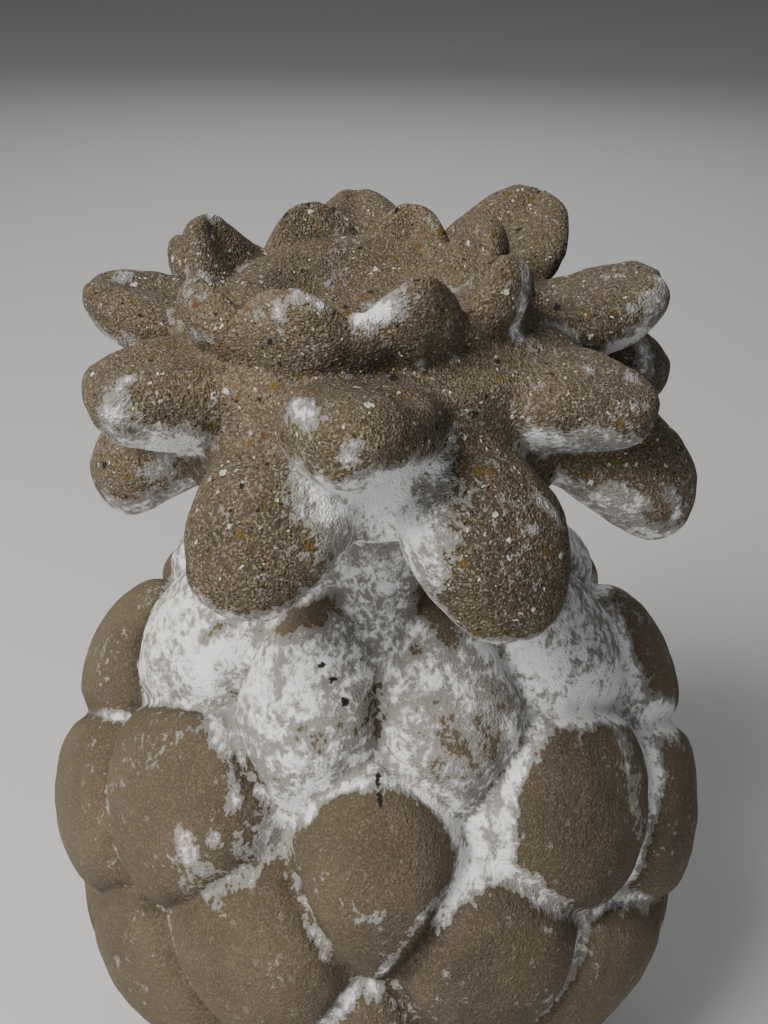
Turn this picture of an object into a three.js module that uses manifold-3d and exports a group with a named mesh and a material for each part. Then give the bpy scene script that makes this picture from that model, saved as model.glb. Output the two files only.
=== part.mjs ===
// Cast concrete pineapple finial: a round body covered in rounded scales, a crown of three
// rings of thick leaves around a shallow dish, and a low plain foot.
// Millimetres, +Z up, origin at the middle of the flat underside, front of the piece toward -Y.
import * as THREE from 'three';
import { mergeVertices } from 'three/addons/utils/BufferGeometryUtils.js';
import Module from 'manifold-3d';

const wasm = await Module();
wasm.setup();

// Body: a globe standing in the foot, drawn up into a short neck under the crown. Polar angles
// are in degrees down from the top of the globe.
const BODY_RADIUS = 113;
const BODY_HALF_HEIGHT = 113;
const BODY_CENTRE_HEIGHT = 118;
const NECK_RISE = 36;
const NECK_POLAR = 35;
const NECK_TOP_POLAR = 8;

// Foot: a low plain drum under the globe
const FOOT_RADIUS = 78;
const FOOT_HEIGHT = 20;
const FOOT_EDGE = 4;

// Scales: rows of rounded bosses, every second row turned by half a scale. A scale falls away by
// the relief over its reach, which shrinks toward the poles, and its rest level is the share of the
// relief below the globe's radius. The columns of scales lean to and fro by a few degrees, a few
// times around the globe. The narrowing toward the poles stops at a least value. The rows nearest
// the crown stand higher than the even pitch by the row lift.
const SCALES_PER_ROW = 8;
const FIRST_ROW_POLAR = 22;
const ROW_PITCH_POLAR = 18.5;
const ROW_COUNT = 8;
const LIFTED_ROWS = 2;
const ROW_LIFT_POLAR = 6.5;
const SCALE_RELIEF = 18;
const SCALE_REACH = 46;
const SCALE_ROUNDNESS = 2.8;
const SCALE_NARROWING = 0.8;
const SCALE_SHRINKING = 0.45;
const SCALE_REST_LEVEL = 0.75;
const SCALE_UNEVENNESS = 4.5;
const UNEVEN_WAVES = 3;
const SCALED_POLAR_END = 131;
const LEAST_NARROWING = 0.01;
const LAST_POLAR = 158;

// Crown core: the stem that carries the leaves, widest where the lower leaves join, with a
// shallow dish in its top; heights are above the middle of the globe
const CORE_BOTTOM_HEIGHT = 104;
const CORE_NECK_RADIUS = 38;
const CORE_NECK_HEIGHT = 132;
const CORE_SHELF_RADIUS = 60;
const CORE_SHELF_BOTTOM = 148;
const CORE_SHELF_TOP = 166;
const CORE_WAIST_RADIUS = 56;
const CORE_WAIST_HEIGHT = 184;
const CORE_RIM_RADIUS = 38;
const CORE_RIM_HEIGHT = 195;
const DISH_RADIUS = 32;
const DISH_DEPTH = 9;
const DISH_FLOOR_RADIUS = 16;
const DISH_FLOOR_RISE = 2;
const CORE_LEAN = -3;

// Mesh fineness
const BODY_SEGMENTS = 64;
const ROWS_PER_SCALE = 4;
const CORE_SEGMENTS = 24;
const WELD_DISTANCE = 0.001;

// Rings of leaves. A ring leans a little, so its axis is shifted sideways. Its leaves start at the
// root and bend over a handle that stands a share of the way out; distances are from the axis and
// heights above the middle of the globe. A leaf is flatter above than below by the upper share, and
// its top is hollowed by a channel. Each leaf has its azimuth in degrees from the front, and its own
// reach, tip height, half width and, where they differ, thickness and channel as shares of the ring's.
const LOWER_RING = {
  shift: 3, rootReach: 20, rootHeight: 154, bendShare: 0.85, bendHeight: 166,
  reach: 84, tipHeight: 133, halfWidth: 20, halfThickness: 16, upperShare: 1,
  channelDepth: 0, rootChannelDepth: 0, pointedness: 0, segmentsAround: 14, segmentsAlong: 10,
  leaves: [
    { azimuth: -28, reach: 1, height: 1, width: 1.08 },
    { azimuth: 21, reach: 1, height: 0.98, width: 1.1 },
    { azimuth: -78, reach: 0.98, height: 0.97, width: 0.95 },
    { azimuth: 76, reach: 0.99, height: 0.95, width: 1.1 },
    { azimuth: -119, reach: 1, height: 1.01, width: 0.95 },
    { azimuth: 113, reach: 1.08, height: 1.09, width: 0.95 },
    { azimuth: -160, reach: 1, height: 1.01, width: 1 },
    { azimuth: 158, reach: 1, height: 1.01, width: 1 },
  ],
};
const MIDDLE_RING = {
  shift: -3, rootReach: 12, rootHeight: 168, bendShare: 0.6, bendHeight: 180,
  reach: 85, tipHeight: 183, halfWidth: 19, halfThickness: 15, upperShare: 0.6,
  channelDepth: 5, rootChannelDepth: 3, pointedness: 0.15, segmentsAround: 14, segmentsAlong: 10,
  leaves: [
    { azimuth: -2, reach: 0.99, height: 1.04, width: 1.06, thickness: 1.2, channel: 0 },
    { azimuth: -60, reach: 0.99, height: 0.97, width: 1, thickness: 1.3 },
    { azimuth: 59, reach: 1.01, height: 0.965, width: 1, thickness: 1.1, channel: 0.2, pointedness: 0.3 },
    { azimuth: -99, reach: 1.02, height: 1.02, width: 0.9 },
    { azimuth: 100, reach: 1.02, height: 1.045, width: 1, channel: 0.3, pointedness: 0 },
    { azimuth: -131, reach: 0.99, height: 1.02, width: 0.9 },
    { azimuth: 141, reach: 1.01, height: 1.1, width: 1.2, thickness: 0.8, channel: 1.4, pointedness: 0 },
    { azimuth: -175, reach: 0.99, height: 1.065, width: 1 },
  ],
};
const INNER_RING = {
  shift: -6, rootReach: 20, rootHeight: 178, bendShare: 0.7, bendHeight: 186,
  reach: 48, tipHeight: 207, halfWidth: 17, halfThickness: 12, upperShare: 0.3,
  channelDepth: 3, rootChannelDepth: 1, pointedness: 0.3, segmentsAround: 12, segmentsAlong: 8,
  leaves: [
    { azimuth: -19, reach: 1.02, height: 1.02, width: 1.1, pointedness: 0 },
    { azimuth: 18, reach: 0.93, height: 1.045, width: 1, channel: 0.3 },
    { azimuth: 2, reach: 0.95, height: 0.995, width: 0.75, thickness: 0.9 },
    { azimuth: -54, reach: 1.04, height: 0.99, width: 1.2, pointedness: 0.1 },
    { azimuth: 63, reach: 0.9, height: 1.015, width: 1.25 },
    { azimuth: -112, reach: 1.07, height: 0.995, width: 1 },
    { azimuth: 113, reach: 0.78, height: 1.01, width: 1 },
    { azimuth: -156, reach: 1, height: 0.985, width: 1 },
    { azimuth: 158, reach: 0.82, height: 0.995, width: 1 },
  ],
};

// Leaf form: share of the full width at the root, where along the leaf the full width is reached,
// bluntness of the ends (below 1 is blunter than an ellipse), width of the top channel
const LEAF_ROOT_WIDTH = 0.7;
const LEAF_FULL_WIDTH_AT = 0.6;
const LEAF_BLUNTNESS = 0.7;
const CHANNEL_HALF_WIDTH = 0.45;

const radians = THREE.MathUtils.degToRad;

// A closed solid from one closed geometry, its seams and poles welded
function toManifold(geometry) {
  geometry.deleteAttribute('normal');
  geometry.deleteAttribute('uv');
  const welded = mergeVertices(geometry, WELD_DISTANCE);
  const corners = welded.index.array;
  const kept = [];
  for (let i = 0; i < corners.length; i += 3) {
    const [a, b, c] = [corners[i], corners[i + 1], corners[i + 2]];
    if (a !== b && b !== c && c !== a) kept.push(a, b, c);
  }
  return new wasm.Manifold(new wasm.Mesh({
    numProp: 3,
    vertProperties: new Float32Array(welded.attributes.position.array),
    triVerts: new Uint32Array(kept),
  }));
}

function toGeometry(solid) {
  const mesh = solid.getMesh();
  const geometry = new THREE.BufferGeometry();
  geometry.setAttribute('position', new THREE.BufferAttribute(mesh.vertProperties, 3));
  geometry.setIndex(new THREE.BufferAttribute(mesh.triVerts, 1));
  geometry.computeVertexNormals();
  return geometry;
}

// Height of the rounded scale under a point of the globe: 1 on top of a scale, falling away to
// the grooves where it meets its neighbours
function scaleSwell(column, polar) {
  const turn = 360 / SCALES_PER_ROW;
  const narrowed = Math.max(Math.sin(radians(polar)), LEAST_NARROWING);
  const reach = SCALE_REACH * narrowed ** SCALE_SHRINKING;
  let nearest = reach;
  for (let row = 0; row < ROW_COUNT; row += 1) {
    const lift = row < LIFTED_ROWS ? ROW_LIFT_POLAR : 0;
    const rowPolar = FIRST_ROW_POLAR + row * ROW_PITCH_POLAR - lift;
    const offset = column - (row % 2 === 0 ? 0 : turn / 2);
    const aside = radians(offset - turn * Math.round(offset / turn));
    const across = aside * BODY_RADIUS * narrowed ** SCALE_NARROWING;
    const along = radians(polar - rowPolar) * BODY_RADIUS;
    nearest = Math.min(nearest, Math.hypot(across, along));
  }
  return 1 - (nearest / reach) ** SCALE_ROUNDNESS;
}

// How far the scales stand out of the globe, dying out above the plain lower part
function reliefAt(column, polar) {
  const lowest = SCALED_POLAR_END + ROW_PITCH_POLAR / 2;
  const fade = 1 - THREE.MathUtils.smoothstep(polar, SCALED_POLAR_END, lowest);
  return SCALE_RELIEF * (scaleSwell(column, polar) - SCALE_REST_LEVEL) * fade;
}

// The globe with its scales raised on it. The rows of the lathe profile fall on the corners of the
// evenly spaced scales, and each four-sided face is cut along whichever diagonal lies nearer the
// surface.
function buildBody() {
  const polars = [0];
  const step = ROW_PITCH_POLAR / ROWS_PER_SCALE;
  for (let polar = FIRST_ROW_POLAR % step; polar < LAST_POLAR; polar += step) polars.push(polar);
  polars.push(180);
  const onCircle = (polar) => new THREE.Vector2(Math.sin(radians(polar)), Math.cos(radians(polar)));
  const globe = new THREE.LatheGeometry(polars.map(onCircle), BODY_SEGMENTS);
  const spots = globe.attributes.position;
  const height = [];
  for (let segment = 0; segment <= BODY_SEGMENTS; segment += 1) {
    const column = (360 * segment) / BODY_SEGMENTS;
    const azimuth = radians(column - SCALE_UNEVENNESS * Math.sin(radians(UNEVEN_WAVES * column)));
    polars.forEach((polar, row) => {
      const relief = reliefAt(column, polar);
      const reach = (BODY_RADIUS + relief) * Math.sin(radians(polar));
      const rise = NECK_RISE * (1 - THREE.MathUtils.smoothstep(polar, NECK_TOP_POLAR, NECK_POLAR));
      const level = (BODY_HALF_HEIGHT + relief) * Math.cos(radians(polar)) + rise;
      const i = segment * polars.length + row;
      height[i] = relief;
      spots.setXYZ(i, reach * Math.sin(azimuth), -reach * Math.cos(azimuth), level);
    });
  }
  const faces = [];
  for (let segment = 0; segment < BODY_SEGMENTS; segment += 1) {
    for (let row = 0; row < polars.length - 1; row += 1) {
      const [a, b] = [segment * polars.length + row, (segment + 1) * polars.length + row];
      const [c, d] = [b + 1, a + 1];
      const middle = reliefAt((360 * (segment + 0.5)) / BODY_SEGMENTS, (polars[row] + polars[row + 1]) / 2);
      const cutFromA = Math.abs((height[a] + height[c]) / 2 - middle);
      const cutFromB = Math.abs((height[b] + height[d]) / 2 - middle);
      if (cutFromA < cutFromB) faces.push(a, c, b, a, d, c);
      else faces.push(a, d, b, b, d, c);
    }
  }
  globe.setIndex(faces);
  globe.translate(0, 0, BODY_CENTRE_HEIGHT);
  return toManifold(globe);
}

// The low drum the globe stands in
function buildFoot() {
  const outline = [
    [0, 0],
    [FOOT_RADIUS - FOOT_EDGE, 0],
    [FOOT_RADIUS, FOOT_EDGE],
    [FOOT_RADIUS, FOOT_HEIGHT - FOOT_EDGE],
    [FOOT_RADIUS - FOOT_EDGE, FOOT_HEIGHT],
    [0, FOOT_HEIGHT],
  ].map(([reach, height]) => new THREE.Vector2(reach, height));
  const foot = new THREE.LatheGeometry(outline, BODY_SEGMENTS);
  foot.rotateX(Math.PI / 2);
  return toManifold(foot);
}

// The stem between the globe and the top dish
function buildCore() {
  const outline = [
    [0, CORE_BOTTOM_HEIGHT],
    [CORE_NECK_RADIUS, CORE_BOTTOM_HEIGHT],
    [CORE_NECK_RADIUS, CORE_NECK_HEIGHT],
    [CORE_SHELF_RADIUS, CORE_SHELF_BOTTOM],
    [CORE_SHELF_RADIUS, CORE_SHELF_TOP],
    [CORE_WAIST_RADIUS, CORE_WAIST_HEIGHT],
    [CORE_RIM_RADIUS, CORE_RIM_HEIGHT],
    [DISH_RADIUS, CORE_RIM_HEIGHT],
    [DISH_FLOOR_RADIUS, CORE_RIM_HEIGHT - DISH_DEPTH + DISH_FLOOR_RISE],
    [0, CORE_RIM_HEIGHT - DISH_DEPTH],
  ].map(([reach, height]) => new THREE.Vector2(reach, height));
  const core = new THREE.LatheGeometry(outline, CORE_SEGMENTS);
  core.rotateX(Math.PI / 2);
  core.translate(CORE_LEAN, 0, BODY_CENTRE_HEIGHT);
  return toManifold(core);
}

// One thick leaf: a ball drawn out along a bent spine, narrower at the root, blunt or drawn to a
// point at the tip, its top flattened and hollowed as the ring or the leaf asks
function buildLeaf(leaf, ring) {
  const { thickness = 1, channel = 1, pointedness = ring.pointedness } = leaf;
  const tipReach = leaf.reach * ring.reach;
  const bendReach = THREE.MathUtils.lerp(ring.rootReach, tipReach, ring.bendShare);
  const spine = new THREE.QuadraticBezierCurve3(
    new THREE.Vector3(0, -ring.rootReach, ring.rootHeight),
    new THREE.Vector3(0, -bendReach, ring.bendHeight),
    new THREE.Vector3(0, -tipReach, leaf.height * ring.tipHeight),
  );
  const ball = new THREE.SphereGeometry(1, ring.segmentsAround, ring.segmentsAlong);
  const spots = ball.attributes.position;
  const spot = new THREE.Vector3();
  for (let i = 0; i < spots.count; i += 1) {
    spot.fromBufferAttribute(spots, i);
    const along = (1 - spot.y) / 2;
    const around = Math.atan2(spot.z, spot.x);
    const [side, upper] = [Math.cos(around), Math.sin(around)];
    const girth = Math.max(1 - spot.y ** 2, 0) ** (LEAF_BLUNTNESS / 2);
    const grown = THREE.MathUtils.lerp(
      LEAF_ROOT_WIDTH, 1, THREE.MathUtils.smoothstep(along, 0, LEAF_FULL_WIDTH_AT));
    const drawnIn = 1 - pointedness * THREE.MathUtils.smoothstep(along, LEAF_FULL_WIDTH_AT, 1);
    const raised = Math.max(upper, 0);
    const bulge = ring.halfThickness * thickness * (upper - (1 - ring.upperShare) * raised);
    const depth = THREE.MathUtils.lerp(ring.rootChannelDepth, ring.channelDepth * channel, along);
    const hollow = depth * Math.exp(-((side / CHANNEL_HALF_WIDTH) ** 2)) * raised;
    const rise = (bulge - hollow) * girth;
    const aside = ring.halfWidth * leaf.width * grown * drawnIn * girth * side;
    const middle = spine.getPoint(along);
    const heading = spine.getTangent(along);
    spots.setXYZ(i, aside, middle.y + heading.z * rise, middle.z - heading.y * rise);
  }
  ball.rotateZ(radians(leaf.azimuth));
  ball.translate(ring.shift, 0, BODY_CENTRE_HEIGHT);
  return toManifold(ball);
}

let finial = buildBody().add(buildFoot()).add(buildCore());
for (const ring of [LOWER_RING, MIDDLE_RING, INNER_RING]) {
  for (const leaf of ring.leaves) finial = finial.add(buildLeaf(leaf, ring));
}

const concrete = new THREE.MeshStandardMaterial({ color: 0x8f7e67, roughness: 0.95, metalness: 0 });
const part = new THREE.Group();
part.name = 'pineapple_finial_set';
const piece = new THREE.Mesh(toGeometry(finial), concrete);
piece.name = 'pineapple_finial';
part.add(piece);

export default part;
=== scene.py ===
# Cast concrete pineapple finial with worn white paint, on a pale floor in soft studio light.
# Metres, +Z up, front of the piece toward -Y. The form is worked out in millimetres.
import math

import bpy
import numpy as np
import openvdb
from mathutils import Matrix, Vector


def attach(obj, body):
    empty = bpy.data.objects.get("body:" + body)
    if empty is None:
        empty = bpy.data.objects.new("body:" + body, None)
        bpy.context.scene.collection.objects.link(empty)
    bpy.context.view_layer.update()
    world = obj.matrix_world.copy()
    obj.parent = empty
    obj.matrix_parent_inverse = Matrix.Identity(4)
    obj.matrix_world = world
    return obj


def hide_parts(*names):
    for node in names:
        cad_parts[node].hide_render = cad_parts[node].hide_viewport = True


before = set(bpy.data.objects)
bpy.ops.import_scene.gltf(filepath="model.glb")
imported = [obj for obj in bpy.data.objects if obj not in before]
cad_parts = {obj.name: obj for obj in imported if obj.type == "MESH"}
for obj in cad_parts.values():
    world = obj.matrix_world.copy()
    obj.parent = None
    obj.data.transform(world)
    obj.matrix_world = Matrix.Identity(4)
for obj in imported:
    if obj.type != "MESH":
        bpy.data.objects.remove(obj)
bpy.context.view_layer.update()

MM = 0.001

# Globe and its neck; polar angles are in degrees down from the top of the globe
BODY_RADIUS = 113.0
BODY_CENTRE_HEIGHT = 118.0
NECK_RISE = 36.0
NECK_POLAR = 35.0
NECK_TOP_POLAR = 8.0

# Foot
FOOT_RADIUS = 78.0
FOOT_HEIGHT = 20.0
FOOT_EDGE = 4.0
FOOT_OUTLINE = (
    (0, 0), (FOOT_RADIUS - FOOT_EDGE, 0), (FOOT_RADIUS, FOOT_EDGE), (FOOT_RADIUS, FOOT_HEIGHT - FOOT_EDGE),
    (FOOT_RADIUS - FOOT_EDGE, FOOT_HEIGHT), (0, FOOT_HEIGHT),
)

# Scales: their rows lie one pitch apart down the globe, but the uppermost stand higher by the lift
SCALES_PER_ROW = 8
ROW_COUNT = 8
FIRST_ROW_POLAR = 22.0
ROW_PITCH_POLAR = 18.5
LIFTED_ROWS = 2
ROW_LIFT_POLAR = 6.5
SCALE_RELIEF = 18.0
SCALE_REACH = 46.0
SCALE_ROUNDNESS = 2.8
SCALE_NARROWING = 0.8
SCALE_SHRINKING = 0.45
SCALE_REST_LEVEL = 0.75
GROOVE_DEPTH = 2.6
GROOVE_WIDTH = 3.6
SCALE_UNEVENNESS = 4.5
UNEVEN_WAVES = 3
SCALED_POLAR_END = 131.0

# Crown core, as distance from its axis and height above the middle of the globe
CORE_LEAN = -3.0
CORE_OUTLINE = (
    (0, 104), (38, 104), (38, 132), (60, 148), (60, 166),
    (56, 184), (38, 195), (32, 195), (16, 188), (0, 186),
)

# Rings of leaves: root and bend of their spines, and the lengths a share of 1 stands for. A leaf is
# flatter above than below by the upper share, and its top is hollowed by a channel.
LOWER_RING = dict(
    shift=3, root_reach=20, root_height=154, bend_share=0.85, bend_height=166,
    ring_reach=84, ring_height=133, ring_half_width=20, ring_half_thickness=16, upper_share=1.0,
    ring_channel=0, root_channel=0, pointedness=0.0,
)
MIDDLE_RING = dict(
    shift=-3, root_reach=12, root_height=168, bend_share=0.6, bend_height=180,
    ring_reach=85, ring_height=183, ring_half_width=19, ring_half_thickness=15, upper_share=0.6,
    ring_channel=5, root_channel=3, pointedness=0.15,
)
INNER_RING = dict(
    shift=-6, root_reach=20, root_height=178, bend_share=0.7, bend_height=186,
    ring_reach=48, ring_height=207, ring_half_width=17, ring_half_thickness=12, upper_share=0.3,
    ring_channel=3, root_channel=1, pointedness=0.3,
)

# Each leaf has its azimuth from the front, and its reach, tip height, half width and, where they
# differ, thickness and channel as shares of its ring's
LEAVES = (
    (LOWER_RING, dict(azimuth=-28, reach=1, height=1, width=1.08)),
    (LOWER_RING, dict(azimuth=21, reach=1, height=0.98, width=1.1)),
    (LOWER_RING, dict(azimuth=-78, reach=0.98, height=0.97, width=0.95)),
    (LOWER_RING, dict(azimuth=76, reach=0.99, height=0.95, width=1.1)),
    (LOWER_RING, dict(azimuth=-119, reach=1, height=1.01, width=0.95)),
    (LOWER_RING, dict(azimuth=113, reach=1.08, height=1.09, width=0.95)),
    (LOWER_RING, dict(azimuth=-160, reach=1, height=1.01, width=1)),
    (LOWER_RING, dict(azimuth=158, reach=1, height=1.01, width=1)),
    (MIDDLE_RING, dict(azimuth=-2, reach=0.99, height=1.04, width=1.06, thickness=1.2, channel=0)),
    (MIDDLE_RING, dict(azimuth=-60, reach=0.99, height=0.97, width=1, thickness=1.3)),
    (MIDDLE_RING, dict(
        azimuth=59, reach=1.01, height=0.965, width=1, thickness=1.1, channel=0.2, pointedness=0.3)),
    (MIDDLE_RING, dict(azimuth=-99, reach=1.02, height=1.02, width=0.9)),
    (MIDDLE_RING, dict(azimuth=100, reach=1.02, height=1.045, width=1, channel=0.3, pointedness=0.0)),
    (MIDDLE_RING, dict(azimuth=-131, reach=0.99, height=1.02, width=0.9)),
    (MIDDLE_RING, dict(
        azimuth=141, reach=1.01, height=1.1, width=1.2, thickness=0.8, channel=1.4, pointedness=0.0)),
    (MIDDLE_RING, dict(azimuth=-175, reach=0.99, height=1.065, width=1)),
    (INNER_RING, dict(azimuth=-19, reach=1.02, height=1.02, width=1.1, pointedness=0.0)),
    (INNER_RING, dict(azimuth=18, reach=0.93, height=1.045, width=1, channel=0.3)),
    (INNER_RING, dict(azimuth=2, reach=0.95, height=0.995, width=0.75, thickness=0.9)),
    (INNER_RING, dict(azimuth=-54, reach=1.04, height=0.99, width=1.2, pointedness=0.1)),
    (INNER_RING, dict(azimuth=63, reach=0.9, height=1.015, width=1.25)),
    (INNER_RING, dict(azimuth=-112, reach=1.07, height=0.995, width=1)),
    (INNER_RING, dict(azimuth=113, reach=0.78, height=1.01, width=1)),
    (INNER_RING, dict(azimuth=-156, reach=1, height=0.985, width=1)),
    (INNER_RING, dict(azimuth=158, reach=0.82, height=0.995, width=1)),
)
LEAF_ROOT_WIDTH = 0.7
LEAF_FULL_WIDTH_AT = 0.6
LEAF_BLUNTNESS = 0.7
CHANNEL_HALF_WIDTH = 0.45

# Fineness of the sheets the forms are drawn as, and the gap each leaves at its poles
GLOBE_ROWS = 260
GLOBE_COLUMNS = 560
GLOBE_POLE_GAP = 0.05
TURNED_COLUMNS = 96
TURNED_POLE_GAP = 0.01
LEAF_ROWS = 40
LEAF_COLUMNS = 48
LEAF_POLE_GAP = 0.002

# Distance field the casting is grown in
VOXEL = 1.25
BAND = 12.0
FIELD_HALF_SIDE = 132.0
FIELD_BOTTOM = -12.0
FIELD_TOP = 348.0
TRIANGLE_LIMIT = 190000

SEED = 41

# Fillets between the joined forms, and hand-made unevenness as spacing and height, in millimetres
NO_BLEND = 0.01
CORE_BLEND = 10.0
LEAF_BLEND = 3.0
INNER_BLEND = 1.5
FOOT_BLEND = 10.0
LUMPS = ((26.0, 1.3), (11.0, 0.8), (4.5, 0.45))
LUMPS_ON_GLOBE = 0.6
LUMPS_GROW_FROM = BODY_CENTRE_HEIGHT + 120
LUMPS_FULL_FROM = BODY_CENTRE_HEIGHT + 140

# The bowl hollowed out between the inner leaves, the notches and pits between leaves, and the chips
# broken out of leaf tips: middle and radius in millimetres
BITES = (
    ((-8, -8, 345), 41.8),
    ((-8, -47, 331), 6.5),
    ((-8, -54, 326), 5.0),
    ((-32, -46, 331), 4.5),
    ((8, -61, 319), 12.5),
    ((47, 1, 309), 8.0),
    ((-54, 26, 326), 4.0),
    ((-60, 45, 312), 4.5),
    ((-16, -50, 334), 5.0),
    ((73, 15, 318), 5.5),
    ((80, 12, 319), 6.0),
    ((86, 12, 312), 5.5),
    ((88, 5, 306), 5.0),
    ((87, 20, 304), 5.0),
)
BITE_BLEND = 1.0


def smoothstep(low, high, value):
    share = np.clip((value - low) / (high - low), 0.0, 1.0)
    return share * share * (3.0 - 2.0 * share)


def grid_faces(rows, columns):
    """Quads of a closed sheet of rows by columns points, where the columns wrap around."""
    row, column = np.meshgrid(np.arange(rows - 1), np.arange(columns), indexing="ij")
    beside = (column + 1) % columns
    a = row * columns + column
    b = row * columns + beside
    c = (row + 1) * columns + beside
    d = (row + 1) * columns + column
    return np.stack([a, b, c, d], axis=-1).reshape(-1, 4)


def scale_under(column, polar):
    """The scale under a point of the globe: its height there, 1 on top and least in the grooves, its
    row, and how far away its middle and the groove to its nearest neighbour are in millimetres."""
    turn = 360.0 / SCALES_PER_ROW
    narrowed = np.sin(np.radians(polar))
    scale_reach = SCALE_REACH * narrowed ** SCALE_SHRINKING
    nearest = np.full(np.shape(column), 2 * SCALE_REACH)
    second = nearest
    own_row = np.zeros(np.shape(column))
    for row in range(ROW_COUNT):
        row_polar = FIRST_ROW_POLAR + row * ROW_PITCH_POLAR - ROW_LIFT_POLAR * (row < LIFTED_ROWS)
        offset = column - row % 2 * turn / 2
        for side in (-1, 0, 1):
            aside = np.radians(offset - turn * (np.round(offset / turn) + side))
            across = aside * BODY_RADIUS * narrowed ** SCALE_NARROWING
            along = np.radians(polar - row_polar) * BODY_RADIUS
            away = np.hypot(across, along)
            own_row = np.where(away < nearest, row, own_row)
            second = np.minimum(second, np.maximum(away, nearest))
            nearest = np.minimum(nearest, away)
    swell = 1.0 - np.minimum(nearest / scale_reach, 1.0) ** SCALE_ROUNDNESS
    return swell, own_row, nearest, (second - nearest) / 2


def uneven(column):
    """The scales' columns lean to and fro a few times around the globe."""
    return SCALE_UNEVENNESS * np.sin(np.radians(UNEVEN_WAVES * column))


def globe_sheet():
    polar, column = np.meshgrid(
        np.linspace(GLOBE_POLE_GAP, 180 - GLOBE_POLE_GAP, GLOBE_ROWS),
        np.arange(GLOBE_COLUMNS) * 360.0 / GLOBE_COLUMNS,
        indexing="ij")
    fade = 1.0 - smoothstep(SCALED_POLAR_END, SCALED_POLAR_END + ROW_PITCH_POLAR / 2, polar)
    swell, _, _, margin = scale_under(column, polar)
    groove = GROOVE_DEPTH * np.exp(-((margin / GROOVE_WIDTH) ** 2))
    relief = (SCALE_RELIEF * (swell - SCALE_REST_LEVEL) - groove) * fade
    rise = NECK_RISE * (1.0 - smoothstep(NECK_TOP_POLAR, NECK_POLAR, polar))
    reach = (BODY_RADIUS + relief) * np.sin(np.radians(polar))
    level = (BODY_RADIUS + relief) * np.cos(np.radians(polar)) + rise + BODY_CENTRE_HEIGHT
    azimuth = np.radians(column - uneven(column))
    points = np.stack([reach * np.sin(azimuth), -reach * np.cos(azimuth), level], axis=-1)
    return points.reshape(-1, 3), grid_faces(GLOBE_ROWS, GLOBE_COLUMNS)[:, ::-1]


def turned_sheet(outline, lean, lift):
    """A turned solid from an outline of distance and height pairs that starts and ends on the axis."""
    outline = np.array(outline, dtype=float)
    outline[0, 0] = outline[-1, 0] = TURNED_POLE_GAP
    turn = np.arange(TURNED_COLUMNS) * 2 * math.pi / TURNED_COLUMNS
    reach, angle = np.meshgrid(outline[:, 0], turn, indexing="ij")
    level, angle = np.meshgrid(outline[:, 1], turn, indexing="ij")
    points = np.stack([lean + reach * np.cos(angle), reach * np.sin(angle), level + lift], axis=-1)
    return points.reshape(-1, 3), grid_faces(len(outline), TURNED_COLUMNS)


def leaf_sheet(ring, leaf):
    """A ball drawn out along a bent spine, narrower at the root, its top flattened and hollowed."""
    leaf = {"thickness": 1, "channel": 1, **ring, **leaf}
    tip_reach = leaf["reach"] * ring["ring_reach"]
    bend_reach = ring["root_reach"] + (tip_reach - ring["root_reach"]) * ring["bend_share"]
    root = np.array([-ring["root_reach"], ring["root_height"]], dtype=float)
    bend = np.array([-bend_reach, ring["bend_height"]], dtype=float)
    tip = np.array([-tip_reach, leaf["height"] * ring["ring_height"]], dtype=float)
    latitude, around = np.meshgrid(
        np.linspace(LEAF_POLE_GAP, math.pi - LEAF_POLE_GAP, LEAF_ROWS),
        np.arange(LEAF_COLUMNS) * 2 * math.pi / LEAF_COLUMNS,
        indexing="ij")
    along = (1.0 - np.cos(latitude)) / 2
    side, upper = np.cos(around), np.sin(around)
    raised = np.maximum(upper, 0)
    girth = np.sin(latitude) ** LEAF_BLUNTNESS
    grown = LEAF_ROOT_WIDTH + (1 - LEAF_ROOT_WIDTH) * smoothstep(0.0, LEAF_FULL_WIDTH_AT, along)
    drawn_in = 1 - leaf["pointedness"] * smoothstep(LEAF_FULL_WIDTH_AT, 1.0, along)
    bulge = ring["ring_half_thickness"] * leaf["thickness"] * (upper - (1 - ring["upper_share"]) * raised)
    depth = ring["ring_channel"] * leaf["channel"] * along + ring["root_channel"] * (1 - along)
    rise = (bulge - depth * np.exp(-((side / CHANNEL_HALF_WIDTH) ** 2)) * raised) * girth
    aside = ring["ring_half_width"] * leaf["width"] * grown * drawn_in * girth * side
    share = along[..., None]
    middle = (1 - share) ** 2 * root + 2 * (1 - share) * share * bend + share ** 2 * tip
    heading = 2 * (1 - share) * (bend - root) + 2 * share * (tip - bend)
    heading = heading / np.linalg.norm(heading, axis=-1, keepdims=True)
    out = middle[..., 0] + heading[..., 1] * rise
    level = middle[..., 1] - heading[..., 0] * rise + BODY_CENTRE_HEIGHT
    turn = math.radians(leaf["azimuth"])
    x = aside * math.cos(turn) - out * math.sin(turn) + ring["shift"]
    y = aside * math.sin(turn) + out * math.cos(turn)
    return np.stack([x, y, level], axis=-1).reshape(-1, 3), grid_faces(LEAF_ROWS, LEAF_COLUMNS)


def soft_union(first, second, blend):
    """Joins two distance fields with a fillet about as wide as blend."""
    near = np.maximum(blend - np.abs(first - second), 0.0) / blend
    return np.minimum(first, second) - near * near * blend / 4


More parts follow.
